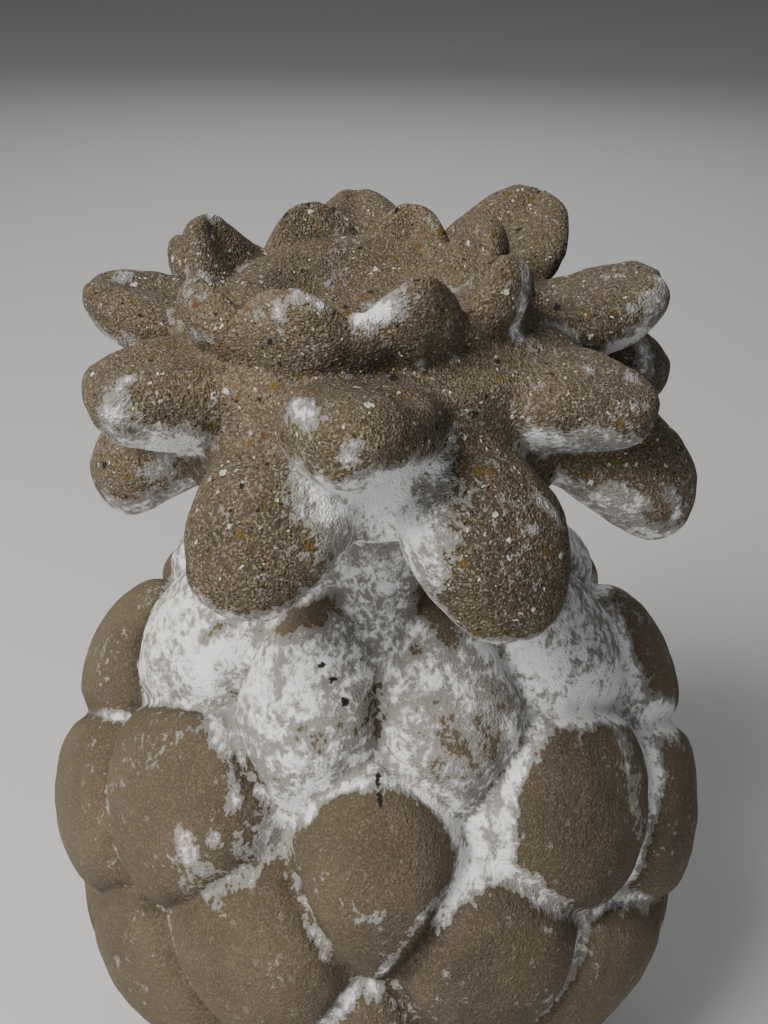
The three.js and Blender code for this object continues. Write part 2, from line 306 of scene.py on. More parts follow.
class Casting:
    """A distance field over the whole piece, in millimetres, negative inside."""

    def __init__(self):
        low = [-FIELD_HALF_SIDE, -FIELD_HALF_SIDE, FIELD_BOTTOM]
        high = [FIELD_HALF_SIDE, FIELD_HALF_SIDE, FIELD_TOP]
        self.start = [int(round(v / VOXEL)) for v in low]
        size = [int(round(v / VOXEL)) - s for v, s in zip(high, self.start)]
        self.field = np.full(size, BAND, dtype=np.float32)
        self.transform = openvdb.createLinearTransform(voxelSize=VOXEL)

    def axis(self, index):
        return (np.arange(self.field.shape[index]) + self.start[index]) * VOXEL

    def add(self, sheet, blend):
        """Joins a closed sheet's inside to the piece."""
        points, quads = sheet
        solid = openvdb.FloatGrid.createLevelSetFromPolygons(
            points.astype(np.float32), quads=quads.astype(np.uint32), transform=self.transform,
            halfWidth=BAND / VOXEL)
        low = [int(math.floor((v - BAND) / VOXEL)) - s for v, s in zip(points.min(axis=0), self.start)]
        high = [int(math.ceil((v + BAND) / VOXEL)) - s for v, s in zip(points.max(axis=0), self.start)]
        low = [max(v, 0) for v in low]
        high = [min(v, n) for v, n in zip(high, self.field.shape)]
        block = np.empty([h - l for l, h in zip(low, high)], dtype=np.float32)
        solid.copyToArray(block, ijk=tuple(l + s for l, s in zip(low, self.start)))
        window = tuple(slice(l, h) for l, h in zip(low, high))
        self.field[window] = soft_union(self.field[window], block, blend)

    def bite(self, middle, radius):
        """Takes a ball out of the piece."""
        x, y, z = (self.axis(index) - middle[index] for index in range(3))
        away = np.sqrt(x[:, None, None] ** 2 + y[None, :, None] ** 2 + z[None, None, :] ** 2)
        inside = (radius - away).astype(np.float32)
        self.field = -soft_union(-self.field, -inside, BITE_BLEND)

    def depth_at(self, points):
        """The field at points in millimetres."""
        spots = np.rint(points / VOXEL).astype(int) - np.array(self.start)
        spots = np.clip(spots, 0, np.array(self.field.shape) - 1)
        return self.field[spots[:, 0], spots[:, 1], spots[:, 2]]

    def surface(self):
        """The skin at distance 0 as points in millimetres and their triangles and quads."""
        grid = openvdb.FloatGrid()
        grid.background = BAND
        grid.transform = self.transform
        grid.copyFromArray(self.field, ijk=tuple(self.start))
        return grid.convertToPolygons(isovalue=0.0, adaptivity=0.0)


def soft_noise(shape, spacing, seed):
    """Smooth random lumps over the field, about spacing millimetres apart, within about -1 to 1."""
    rng = np.random.default_rng(seed)
    step = spacing / VOXEL
    counts = [int(n / step) + 3 for n in shape]
    values = rng.uniform(-1.0, 1.0, counts).astype(np.float32)
    for axis, size in enumerate(shape):
        place = np.arange(size) / step
        cell = place.astype(int)
        share = (place - cell).astype(np.float32)
        share = share * share * (3 - 2 * share)
        share = share.reshape([-1 if a == axis else 1 for a in range(3)])
        here = np.take(values, cell, axis=axis)
        beyond = np.take(values, cell + 1, axis=axis)
        values = here * (1 - share) + beyond * share
    return values


def cloud_at(points, spacing, seed, octaves):
    """Smooth random clouds at points in millimetres, each octave half as coarse and half as strong."""
    total = np.zeros(len(points))
    for octave in range(octaves):
        rng = np.random.default_rng(seed + octave)
        place = (points + FIELD_TOP) / (spacing / 2 ** octave)
        cell = np.floor(place).astype(int)
        share = place - cell
        share = share * share * (3 - 2 * share)
        values = rng.uniform(-1.0, 1.0, cell.max(axis=0) + 2)
        for corner in np.ndindex(2, 2, 2):
            weight = np.prod(np.where(corner, share, 1 - share), axis=1)
            spot = cell + np.array(corner)
            total += values[spot[:, 0], spot[:, 1], spot[:, 2]] * weight / 2 ** octave
    return total


def grow_casting():
    """The whole piece as one field: joined forms, lumps, bites, and the flat underside."""
    casting = Casting()
    casting.add(globe_sheet(), NO_BLEND)
    casting.add(turned_sheet(CORE_OUTLINE, CORE_LEAN, BODY_CENTRE_HEIGHT), CORE_BLEND)
    for ring, leaf in LEAVES:
        casting.add(leaf_sheet(ring, leaf), INNER_BLEND if ring is INNER_RING else LEAF_BLEND)
    casting.add(turned_sheet(FOOT_OUTLINE, 0.0, 0.0), FOOT_BLEND)
    level = casting.axis(2)[None, None, :]
    on_crown = smoothstep(LUMPS_GROW_FROM, LUMPS_FULL_FROM, level)
    strength = (LUMPS_ON_GLOBE + (1 - LUMPS_ON_GLOBE) * on_crown).astype(np.float32)
    for number, (spacing, height) in enumerate(LUMPS):
        casting.field += height * strength * soft_noise(casting.field.shape, spacing, SEED + number)
    for middle, radius in BITES:
        casting.bite(middle, radius)
    casting.field = np.maximum(casting.field, -level.astype(np.float32))
    return casting


def make_piece(name, casting):
    points, triangles, quads = casting.surface()
    mesh = bpy.data.meshes.new(name)
    mesh.from_pydata((points * MM).tolist(), [], triangles.tolist() + quads.tolist())
    mesh.update()
    piece = bpy.data.objects.new(name, mesh)
    bpy.context.scene.collection.objects.link(piece)
    return piece


def use_modifiers(piece):
    """Fixes the result of the piece's modifiers in its mesh."""
    graph = bpy.context.evaluated_depsgraph_get()
    final = bpy.data.meshes.new_from_object(piece.evaluated_get(graph))
    piece.modifiers.clear()
    old = piece.data
    piece.data = final
    bpy.data.meshes.remove(old)


def thin_out(piece):
    """Brings the piece down to the triangle limit."""
    triangles = sum(len(face.vertices) - 2 for face in piece.data.polygons)
    if triangles > TRIANGLE_LIMIT:
        thin = piece.modifiers.new("thin", "DECIMATE")
        thin.ratio = TRIANGLE_LIMIT / triangles
        use_modifiers(piece)


# Camera: fitted to the photograph's steep close view
CAMERA_PLACE = (0.0008, -0.2967, 0.4285)
CAMERA_PITCH = 33.1
CAMERA_ROLL = 0.8
FOCAL_PIXELS = 1100.0
PICTURE_HEIGHT_PIXELS = 1024.0
SENSOR = 36.0
NEAREST_SEEN = 0.01


def place_camera():
    data = bpy.data.cameras.new("camera")
    data.sensor_width = SENSOR
    data.lens = FOCAL_PIXELS * SENSOR / PICTURE_HEIGHT_PIXELS
    data.clip_start = NEAREST_SEEN
    camera = bpy.data.objects.new("camera", data)
    pitch = Matrix.Rotation(math.radians(90 - CAMERA_PITCH), 4, "X")
    roll = Matrix.Rotation(math.radians(CAMERA_ROLL), 4, "Z")
    camera.matrix_world = Matrix.Translation(Vector(CAMERA_PLACE)) @ (pitch @ roll)
    bpy.context.scene.collection.objects.link(camera)
    bpy.context.scene.camera = camera


# Studio lights: place, what they point at, width and height, power in watts and colour
LIGHTS = dict(
    key=((-0.68, -0.5, 1.2), (0, 0, 0.22), (0.6, 0.6), 22, (1.0, 0.98, 0.95)),
    fill=((-0.15, -1.2, 0.4), (0, 0, 0.18), (0.9, 0.7), 4, (0.95, 0.97, 1.0)),
    back=((0.0, 1.3, 1.0), (0, 0, 0.25), (1.2, 0.8), 6, (1.0, 1.0, 1.0)),
)
SURROUNDINGS_COLOUR = (0.9, 0.93, 1.0, 1)
SURROUNDINGS_STRENGTH = 0.12
FLOOR_HALF_SIDE = 6.0
FLOOR_COLOUR = (0.62, 0.61, 0.6, 1)
FLOOR_ROUGHNESS = 0.9


def area_light(name, place, target, size, power, colour):
    data = bpy.data.lights.new(name, "AREA")
    data.shape = "RECTANGLE"
    data.size, data.size_y = size
    data.energy = power
    data.color = colour
    light = bpy.data.objects.new(name, data)
    light.location = place
    light.rotation_euler = (Vector(target) - Vector(place)).to_track_quat("-Z", "Y").to_euler()
    bpy.context.scene.collection.objects.link(light)


def lay_floor():
    half = FLOOR_HALF_SIDE
    corners = [(-half, -half, 0), (half, -half, 0), (half, half, 0), (-half, half, 0)]
    mesh = bpy.data.meshes.new("floor")
    mesh.from_pydata(corners, [], [(0, 1, 2, 3)])
    floor = bpy.data.objects.new("floor", mesh)
    bpy.context.scene.collection.objects.link(floor)
    material = bpy.data.materials.new("floor_paper")
    material.use_nodes = True
    shader = material.node_tree.nodes["Principled BSDF"]
    shader.inputs["Base Color"].default_value = FLOOR_COLOUR
    shader.inputs["Roughness"].default_value = FLOOR_ROUGHNESS
    mesh.materials.append(material)


def set_stage():
    for name, settings in LIGHTS.items():
        area_light(name, *settings)
    world = bpy.data.worlds.new("studio")
    world.use_nodes = True
    surroundings = world.node_tree.nodes["Background"]
    surroundings.inputs["Color"].default_value = SURROUNDINGS_COLOUR
    surroundings.inputs["Strength"].default_value = SURROUNDINGS_STRENGTH
    bpy.context.scene.world = world
    lay_floor()


class Nodes:
    """Short forms for building a node material."""

    def __init__(self, name):
        self.material = bpy.data.materials.new(name)
        self.material.use_nodes = True
        self.tree = self.material.node_tree
        self.shader = self.tree.nodes["Principled BSDF"]
        self.place = self.add("ShaderNodeTexCoord").outputs["Object"]

    def add(self, kind, inputs=(), **settings):
        node = self.tree.nodes.new(kind)
        for name, value in settings.items():
            setattr(node, name, value)
        for name, value in dict(inputs).items():
            self.feed(node.inputs[name], value)
        return node

    def feed(self, socket, value):
        if isinstance(value, bpy.types.NodeSocket):
            self.tree.links.new(value, socket)
        else:
            socket.default_value = value

    def noise(self, size, detail, roughness=0.55, distortion=0.0, place=None):
        """Cloudy noise with features about size metres across."""
        inputs = {
            "Vector": place or self.place, "Scale": 1 / size, "Detail": detail, "Roughness": roughness,
            "Distortion": distortion,
        }
        return self.add("ShaderNodeTexNoise", inputs).outputs["Fac"]

    def cells(self, size, place=None):
        """Cells about size metres apart: distance to the nearest middle and two random shares each."""
        node = self.add("ShaderNodeTexVoronoi", {"Vector": place or self.place, "Scale": 1 / size})
        parts = self.add("ShaderNodeSeparateColor", {"Color": node.outputs["Color"]})
        return node.outputs["Distance"], parts.outputs["Red"], parts.outputs["Green"]

    def math(self, operation, first, second=0.0, third=0.0):
        node = self.add("ShaderNodeMath", operation=operation)
        for socket, value in zip(node.inputs, (first, second, third)):
            self.feed(socket, value)
        return node.outputs[0]

    def vector(self, operation, *values):
        node = self.add("ShaderNodeVectorMath", operation=operation)
        for socket, value in zip(node.inputs, values):
            self.feed(socket, value)
        return node

    def step(self, value, low, high):
        """0 below low and 1 above high, smooth between."""
        node = self.add("ShaderNodeMapRange", interpolation_type="SMOOTHSTEP")
        self.feed(node.inputs["Value"], value)
        self.feed(node.inputs["From Min"], low)
        self.feed(node.inputs["From Max"], high)
        return node.outputs["Result"]

    def mix(self, share, first, second):
        node = self.add("ShaderNodeMix", data_type="RGBA", blend_type="MIX")
        self.feed(node.inputs["Factor"], share)
        self.feed(node.inputs[6], (*first, 1) if isinstance(first, tuple) else first)
        self.feed(node.inputs[7], (*second, 1) if isinstance(second, tuple) else second)
        return node.outputs[2]

    def attribute(self, name):
        return self.add("ShaderNodeAttribute", attribute_name=name).outputs["Fac"]


# Colours, in linear light
BARE_LIGHT = (0.148, 0.111, 0.067)
BARE_DARK = (0.055, 0.041, 0.025)
BARE_OLIVE = (0.1, 0.082, 0.037)
SAND_PALE = (0.34, 0.28, 0.195)
SAND_DARK = (0.026, 0.019, 0.012)
GRIT_BLACK = (0.009, 0.008, 0.006)
GRIT_AMBER = (0.13, 0.077, 0.01)
GRIT_RUST = (0.1, 0.042, 0.018)
GRIT_PALE = (0.62, 0.59, 0.52)
PAINT_WHITE = (0.86, 0.855, 0.84)
PAINT_WASH = (0.262, 0.248, 0.224)
PAINT_THIN = (0.35, 0.34, 0.32)
BARE_ROUGHNESS = 0.95
PAINT_ROUGHNESS = 0.75

# What lies over the globe, and how much more of it over the crown
SAND_ON_GLOBE = 0.2
SAND_MORE_ON_CROWN = 0.35
GRIT_ON_GLOBE = 0.1
GRIT_MORE_ON_CROWN = 0.85
GRAIN_RELIEF_ON_GLOBE = 0.4
GRAIN_RELIEF_MORE_ON_CROWN = 0.5

# Grains of sand: size in metres, and the random shares above and below which one is pale or dark
SAND_SIZE = 0.0005
PALE_SAND_ABOVE = 0.6
DARK_SAND_BELOW = 0.4

# Grains of grit: mean spacing in metres, largest radius as a share of it, and the shades with the
# part of the cells that hold each. Their outlines stray a little.
GRIT_LAYERS = (
    (0.0034, 0.4, ((GRIT_BLACK, 0.06), (GRIT_AMBER, 0.2), (GRIT_RUST, 0.06), (GRIT_PALE, 0.07))),
    (0.0014, 0.4, ((GRIT_BLACK, 0.26), (GRIT_AMBER, 0.1), (GRIT_PALE, 0.12))),
)
SMALLEST_GRAIN = 0.3
GRAIN_SPREAD = 0.7
GRAIN_EDGE = 0.08
STRAY_SIZE = 0.0011
STRAY_REACH = 0.0014

# Small dark marks: middle and half lengths in millimetres, and where their soft edge ends and begins
# as shares of the half lengths
MARKS = (
    ((0.2, -78.5, 196.3), (0.7, 3.0, 3.2)),
    ((0.8, -84, 194), (0.8, 3.0, 2.6)),
    ((-9.5, -65.3, 213.3), (1.4, 1.5, 1.2)),
    ((-13, -61.3, 217.9), (1.3, 1.3, 0.7)),
    ((-16.3, -58.1, 220.6), (1.2, 1.5, 0.8)),
)
MARK_EDGE = (1.2, 0.7)

# Ragged edge of the paint and its brush streaks: noise with its size in metres, and strength, and
# how the streaks are turned, with their width as a share of their length
RAGGED_NOISE = dict(size=0.006, detail=4.0, roughness=0.76, distortion=0.3)
RAGGED_STRENGTH = 1.7
STREAK_NOISE = dict(size=0.0016, detail=2.0, roughness=0.6)
STREAK_STRENGTH = 0.9
STREAK_TURN = (0.5, 0.4, 0.7)
STREAK_STRETCH = 0.3

# Levels between which the wash, the paint and its full thickness come in, how much sooner the wash
# does where paint is likely, and how well wash and paint cover
WASH_LEVELS = (0.35, 0.46)
WASH_BY_PAINT = 0.375
PAINT_LEVELS = (0.48, 0.58)
THICK_LEVELS = (0.52, 0.86)
WASH_COVER = 0.9
PAINT_COVER = 0.95

# Relief too fine for the mesh: its grain and depth in metres, and how far paint stands up in it
GRAIN_NOISE = dict(size=0.0007, detail=1.0)
PAINT_RELIEF = 0.35
RELIEF_DEPTH = 0.0012


def bare_concrete(nodes, crown):
    """Colour of the bare sandy concrete, each grain of sand its own shade."""
    # The tone attribute darkens the bare colour by the concrete's own cloudy tone and also by painted shade
    # in hollows and at shaded places
    colour = nodes.mix(nodes.attribute("tone"), BARE_DARK, BARE_LIGHT)
    colour = nodes.mix(nodes.attribute("stain"), colour, BARE_OLIVE)
    coarse = nodes.math("MULTIPLY_ADD", crown, SAND_MORE_ON_CROWN, SAND_ON_GLOBE)
    _, sand, _ = nodes.cells(SAND_SIZE)
    pale = nodes.math("MULTIPLY", nodes.step(sand, PALE_SAND_ABOVE, 1.0), coarse)
    dark = nodes.math("MULTIPLY", nodes.step(sand, DARK_SAND_BELOW, 0.0), coarse)
    colour = nodes.mix(pale, colour, SAND_PALE)
    return nodes.mix(dark, colour, SAND_DARK)


def with_grit(nodes, colour, crown, strayed):
    """The colour with coarse grains of several shades over it, most on the crown."""
    strength = nodes.math("MULTIPLY_ADD", crown, GRIT_MORE_ON_CROWN, GRIT_ON_GLOBE)
    for size, radius, shares in GRIT_LAYERS:
        distance, chance, bigness = nodes.cells(size, place=strayed)
        reach = nodes.math("MULTIPLY_ADD", bigness, radius * GRAIN_SPREAD, radius * SMALLEST_GRAIN)
        grain = nodes.step(nodes.math("SUBTRACT", reach, distance), 0.0, GRAIN_EDGE)
        grain = nodes.math("MULTIPLY", grain, strength)
        level = 0.0
        for shade, share in shares:
            above = nodes.math("GREATER_THAN", chance, level)
            level += share
            chosen = nodes.math("MULTIPLY", above, nodes.math("LESS_THAN", chance, level))
            colour = nodes.mix(nodes.math("MULTIPLY", chosen, grain), colour, shade)
    return colour


def paint_level(nodes, likely):
    """Thickness of the paint: how likely it is at a place, broken up by ragged edges and streaks."""
    ragged = nodes.noise(**RAGGED_NOISE)
    level = nodes.math("MULTIPLY_ADD", nodes.math("SUBTRACT", ragged, 0.5), RAGGED_STRENGTH, likely)
    drawn = nodes.add("ShaderNodeMapping", {
        "Vector": nodes.place, "Rotation": STREAK_TURN, "Scale": (1.0, STREAK_STRETCH, 1.0)})
    streaks = nodes.noise(**STREAK_NOISE, place=drawn.outputs["Vector"])
    return nodes.math("MULTIPLY_ADD", nodes.math("SUBTRACT", streaks, 0.5), STREAK_STRENGTH, level)


def with_marks(nodes, colour, strayed):
    """The colour with the crack and the small dark marks on it."""
    for middle, half in MARKS:
        offset = nodes.vector("SUBTRACT", strayed, [v * MM + STRAY_REACH / 2 for v in middle])
        scaled = nodes.vector("DIVIDE", offset.outputs[0], [v * MM for v in half])
        away = nodes.vector("LENGTH", scaled.outputs[0]).outputs["Value"]
        colour = nodes.mix(nodes.step(away, *MARK_EDGE), colour, GRIT_BLACK)
    return colour


def painted_concrete():
    """Worn white paint over a thin grey-brown wash over bare sandy concrete."""
    nodes = Nodes("painted_concrete")
    crown = nodes.attribute("crown")
    likely = nodes.attribute("paint")
    stray = nodes.add("ShaderNodeTexNoise", {"Vector": nodes.place, "Scale": 1 / STRAY_SIZE, "Detail": 0.0})
    drift = nodes.vector("MULTIPLY_ADD", stray.outputs["Color"], (STRAY_REACH,) * 3, nodes.place)
    strayed = drift.outputs[0]
    colour = with_grit(nodes, bare_concrete(nodes, crown), crown, strayed)
    level = paint_level(nodes, likely)
    wash = nodes.step(nodes.math("MULTIPLY_ADD", likely, WASH_BY_PAINT, level), *WASH_LEVELS)
    paint = nodes.step(level, *PAINT_LEVELS)
    thick = nodes.mix(nodes.step(level, *THICK_LEVELS), PAINT_THIN, PAINT_WHITE)
    colour = nodes.mix(nodes.math("MULTIPLY", wash, WASH_COVER), colour, PAINT_WASH)
    colour = nodes.mix(nodes.math("MULTIPLY", paint, PAINT_COVER), colour, thick)
    nodes.feed(nodes.shader.inputs["Base Color"], with_marks(nodes, colour, strayed))
    roughness = nodes.math("MULTIPLY_ADD", paint, PAINT_ROUGHNESS - BARE_ROUGHNESS, BARE_ROUGHNESS)
    nodes.feed(nodes.shader.inputs["Roughness"], roughness)
    grainy = nodes.math("MULTIPLY_ADD", crown, GRAIN_RELIEF_MORE_ON_CROWN, GRAIN_RELIEF_ON_GLOBE)
    height = nodes.math("MULTIPLY", nodes.noise(**GRAIN_NOISE), grainy)
    height = nodes.math("MULTIPLY_ADD", level, PAINT_RELIEF, height)
    bump = nodes.add("ShaderNodeBump", {"Height": height, "Strength": 1.0, "Distance": RELIEF_DEPTH})
    nodes.feed(nodes.shader.inputs["Normal"], bump.outputs["Normal"])
    return nodes.material


# Where paint is left (more) or worn off (less): strokes through places in millimetres, each with
# its reach to the side
PAINT_STROKES = (
    # Web between the two front leaves, and the flanks beside it
    (((-3, -62, 277),), 16, 0.55),
    (((-3, -70, 288),), 12, 0.4),
    (((-18, -66, 282),), 7, 0.35),
    (((13, -74, 277),), 7, 0.3),
    (((2, -59, 277.5), (7, -68.5, 274.5), (12, -78, 270.5)), 6, 0.3),
    (((-0.5, -83, 298.5), (6.8, -69.5, 290.3), (14.6, -58, 286.5)), 4, 0.45),
    # Middle ring: front, left and right leaves
    (((-20, -66, 308), (-16, -76, 309)), 2.5, 0.65),
    (((-6.7, -84.3, 306.4),), 3.5, 0.45),
    (((-66.6, -48, 299), (-70, -47.7, 295)), 3.5, 0.55),
    (((-67, -48.5, 295), (-60, -48, 291), (-51.7, -45.3, 286)), 4.5, 0.25),
    (((-64, -43.4, 302.6),), 2.2, 0.6),
    (((-73, -3.6, 297),), 2.5, 0.6),
    (((36, -44.7, 284), (46, -47.5, 289), (55.4, -49.5, 294.7), (65.5, -47.8, 297.7)), 4, 0.25),
    (((54, -34.7, 303),), 2, 0.5),
    (((65, -37.5, 301.7),), 2.5, 0.5),
    (((80, 20, 285.5), (82.6, 15.6, 279)), 4, 0.45),
    (((-77.5, 15, 307),), 3.5, 0.65),
    (((77.6, 1.2, 308), (73.6, -2, 302), (67.3, -2, 294.5)), 4, 0.5),
    (((80.5, 8, 311),), 3, 0.5),
    (((50, -10.6, 303), (53.8, -8.8, 298.3)), 3, 0.6),
    (((9.2, -45.4, 309.6),), 1.6, 0.7),
    (((19, -40.4, 308),), 1.6, 0.7),
    # Inner ring
    (((-5.8, -47.6, 322.5), (0.5, -47, 325)), 3, 0.8),
    (((-21, -49, 327), (-12, -48.5, 327)), 1.8, 0.45),
    (((-26, -49.8, 325), (-24, -51, 320)), 2, 0.45),
    (((-50, 0, 313),), 4, 0.6),
    (((-51.3, 23.3, 323.3),), 3.5, 0.55),
    (((37.2, -20.7, 325), (36, -25.7, 318.5), (35.3, -24.8, 308)), 3.2, 0.7),
    # Lower ring: right front and right side leaves
    (((38.2, -65.3, 282), (43.5, -66, 278)), 2, 0.6),
    (((51.4, -31.4, 270.5),), 4.5, 0.45),
    (((61, -35.7, 266.7), (66.7, -37.4, 267.2)), 4, 0.55),
    (((72.3, -37.3, 263),), 3.5, 0.55),
    (((66, -30, 275), (74, -31, 271), (80, -33, 266), (84, -32.8, 257)), 2, 0.7),
    (((-58, -41.3, 281), (-62, -32, 269)), 4.5, 0.4),
    # Bare places high on the globe
    (((-18, -46.8, 231), (-27.8, -44, 225)), 4.5, -0.7),
    (((-53, -38.8, 213), (-44.6, -36.8, 218.6)), 2.5, -0.45),
    (((14, -41.5, 233.5), (17.3, -46, 231.6), (20.3, -50, 227)), 5.5, -0.65),
    (((10, -54.5, 224),), 3, -0.5),
    (((-0.2, -58, 211), (-0.1, -62.6, 206), (0.6, -67.5, 198.8)), 2.6, -0.5),
    (((-28, -54, 218.8), (-29.8, -60.6, 213)), 2.2, -0.3),
    (((-3, -54, 256),), 6, -0.6),
    # Worn thin: the whole right front scale, the foot of the left front scale, the flat between scales
    (((24, -64, 213),), 22, -0.15),
    (((-22, -72.6, 206), (-6.6, -69.3, 206.4)), 6, -0.17),
    (((11.7, -66, 213), (17.3, -71, 208.6), (27.4, -71.3, 205)), 5, -0.16),
    (((35, -61, 209), (45.6, -47.8, 203)), 5, -0.16),
    (((34, -71, 199), (33.8, -74.2, 190)), 5, -0.22),
    (((-37, -67.5, 200), (-36, -77.8, 186.6), (-36.2, -85, 178)), 4, -0.15),
    (((-29, -91, 170), (-20, -101, 163)), 7, -0.4),
    (((22, -90, 176),), 5, -0.2),
    (((57, -74, 186),), 15, -0.25),
    # Upper left edge of the middle scale, bare but for a fleck
    (((-27, -89, 175), (-22, -86, 183), (-12, -86, 189)), 6, -0.45),
    (((-19.3, -83.5, 187),), 1.8, 0.6),
    # White ridge and bands around the middle scale, the cross under it, and the right side's band
    (((-53, -42.8, 208.7), (-52, -49.7, 198.8), (-45.6, -64.8, 195), (-40.7, -78.4, 187)), 2.6, 0.5),
    (((-40.7, -78.4, 187), (-38.9, -86.9, 176), (-36, -91, 169)), 2.2, 0.45),
    (((-24.7, -75.2, 201), (-13.5, -75.3, 201.7), (-2.8, -71.6, 197.7)), 2.2, 0.3),
    (((-32.8, -85.7, 175.6), (-26.5, -79.2, 182), (-19, -79.2, 192.5), (-9, -78.8, 195)), 3.2, 0.4),
    (((-9, -78.8, 195), (6.3, -80, 194.8), (15, -81, 191), (22, -83.8, 182), (26, -89, 173.5)), 3.2, 0.35),
    (((-19, -83, 186.5),), 3.5, 0.4),
    (((22, -94.9, 172.3), (12.3, -103.2, 167.8), (5.5, -107.2, 157.6), (-1.3, -106.3, 140)), 2, 0.4),
    (((-21.2, -100.7, 163.7), (-12.6, -107.7, 151), (-1.3, -106.3, 140)), 2.6, 0.35),
    (((-3.7, -105, 169),), 1.8, 0.5),
    (((0.6, -104.8, 170.5),), 1.6, 0.5),
    (((41.4, -64, 198), (38.7, -77, 188), (38, -86.3, 177)), 2.6, 0.35),
    (((74.4, -36, 186), (73.7, -59, 185), (77.6, -69.4, 171), (82, -68.7, 152)), 4, 0.35),
    (((-57, -97, 129.5), (-52.4, -100.4, 124.7)), 3, 0.45),
    # Patches low on the left
    (((-50.6, -90, 166.7),), 10, 0.4),
    (((-55, -83.4, 178), (-53.5, -85.8, 174.5)), 4, 0.5),
    (((-46, -85.6, 178.6),), 3, 0.5),
)
# Painted shade: places where the bare concrete is darkened to stand in for the soft shadow on them, most on
# the right front leaf and a scale on the right front of the globe, each with its reach and by how much
PAINTED_SHADE_PLACES = (
    ((26, -84, 268), 26, 0.85),
    ((-32, -82, 268), 24, 0.15),
    ((57, -80, 180), 22, 0.5),
    ((2, -96, 182), 22, 0.2),
    ((52, -40, 298), 16, 0.15),
)
# Width of a stroke's soft edge as a share of its reach
STROKE_SOFTNESS = 0.7

# Random clouds that break up paint and concrete: spacing in millimetres, draw and octaves
CLOUDS = dict(
    ragged=(16, 10, 3), traces=(22, 20, 2), tone=(24, 40, 3), stain=(30, 50, 3), creases=(30, 60, 1),
    banks=(22, 70, 2),
)

# How far out and in from the surface the field is read to tell hollows and edges
HOLLOW_REACH = 8.0
EDGE_REACH = 5.0

# Heights above the middle of the globe where the crown begins, and where its inside begins for
# everything nearer the axis than the inside's radius
CROWN_BEGINS = (126, 136)
INSIDE_BEGINS = (176, 184)
INSIDE_RADIUS = 58

# Undersides begin and are full at these upward shares of the surface's facing. Worn traces of paint
# begin and are full where an edge is this sharp and the cloud this strong.
UNDER_FACING = (-0.05, -0.6)
TRACE_EDGE = (0.45, 0.8)
TRACE_CLOUD = (0.1, 0.6)

# Where the paint changes over the globe, as start and end in degrees: around it from the front to
# its right and left sides, and down it from the top. The coat high up ends raggedly, lower by the
# shift in the upper rows and higher by it in the rows below them.
RIGHT_BEGINS = (10, 40)
RIGHT_ENDS = (100, 140)
LEFT_BEGINS = (-15, -35)
BANKS_THIN = (62, 105)
HIGH_ENDS = (58, 74)
COATED_ENDS = (53, 48)
LOWER_BEGINS = (36, 44)
COATED_RAGGEDNESS = 3
COATED_ROW_SHIFT = 5
LEAST_POLAR = 1

# Banks of paint along the grooves. Their reach in millimetres: at least, more high up in the upper
# and the lower rows, more again on the right side there, and less on the left side. Then the shares
# of the reach where they thin and end, the cloud that breaks them, the distance from a scale's
# middle where the corners between scales begin, and the width and cloud of the bare creases.
BANK_REACH = 2.2
UPPER_BANK = 3.5
UPPER_BANK_RIGHT = 6
LOWER_BANK = 0.6
LOWER_BANK_RIGHT = 2.4
BANK_LESS_LEFT = 1.5
BANK_EDGE = (0.5, 1.6)
BANK_BREAKS = (-0.75, 0.35)
BANKS_WHOLE_HIGH = 0.6
CORNER_DISTANCE = (25, 32)
CREASE_WIDTH = (0.8, 2.2)
CREASE_BREAKS = (-0.1, 0.3)

# How likely paint is: where coated, lower down and in creases less; in the corners between scales;
# in banks, low and more high up; on bare scales; and over the crown
COATED_PAINT = 0.66
LESS_LOWER = 0.06
LESS_IN_CREASES = 0.2
CORNER_PAINT = 0.6
BANK_PAINT = 0.25
BANK_MORE_HIGH = 0.45
BANK_LESS_ON_LEFT = 0.25
BARE_PAINT = 0.02
BARE_MORE_RIGHT = 0.1
CROWN_PAINT = 0.1
UNDERSIDE_PAINT = 0.52
TRACE_PAINT = 0.3
CROWN_RAGGEDNESS = 0.1
GLOBE_RAGGEDNESS = 0.17

# Tone of the bare concrete: usual, cloudy, darkened in hollows as painted shade and less so on the crown,
# paler on edges
USUAL_TONE = 0.6
CLOUDY_TONE = 0.3
HOLLOW_PAINTED_SHADE = 0.75
HOLLOW_SHADE_LESS_ON_CROWN = 0.5
EDGE_TONE = 0.25
HOLLOW_SHADE_LEVELS = (0.2, 0.85)
STAINS = (0.15, 0.9)
STAIN_STRENGTH = 0.6


class Surface:
    """What the paint and the concrete go by, at each vertex of the piece; lengths in millimetres."""

    def __init__(self, mesh, casting):
        self.place = vertex_array(mesh, "co") / MM
        self.normal = vertex_array(mesh, "normal")
        self.azimuth = np.degrees(np.arctan2(self.place[:, 0], -self.place[:, 1]))
        self.radius = np.hypot(self.place[:, 0], self.place[:, 1])
        away = self.place - np.array([0, 0, BODY_CENTRE_HEIGHT])
        self.level = away[:, 2]
        self.polar = np.degrees(np.arccos(np.clip(away[:, 2] / np.linalg.norm(away, axis=1), -1, 1)))
        # How enclosed each place is, read from the field; the tone turns it into painted shade in hollows
        above = casting.depth_at(self.place + self.normal * HOLLOW_REACH)
        below = casting.depth_at(self.place - self.normal * EDGE_REACH)
        self.hollow = np.clip(1 - above / HOLLOW_REACH, 0, 1)
        self.edge = np.clip(1 + below / EDGE_REACH, 0, 1)
        self.crown = smoothstep(*CROWN_BEGINS, self.level)

    def cloud(self, name):
        spacing, draw, octaves = CLOUDS[name]
        return cloud_at(self.place, spacing, SEED + draw, octaves)

    def near(self, stroke, reach):
        """1 on a stroke through places and fading away from it."""
        away = np.full(len(self.place), np.inf)
        for start, end in zip(stroke, stroke[1:] or stroke):
            away = np.minimum(away, distance_to(self.place, np.array(start, float), np.array(end, float)))
        return np.exp(-(away ** 2) / (2 * (reach * STROKE_SOFTNESS) ** 2))


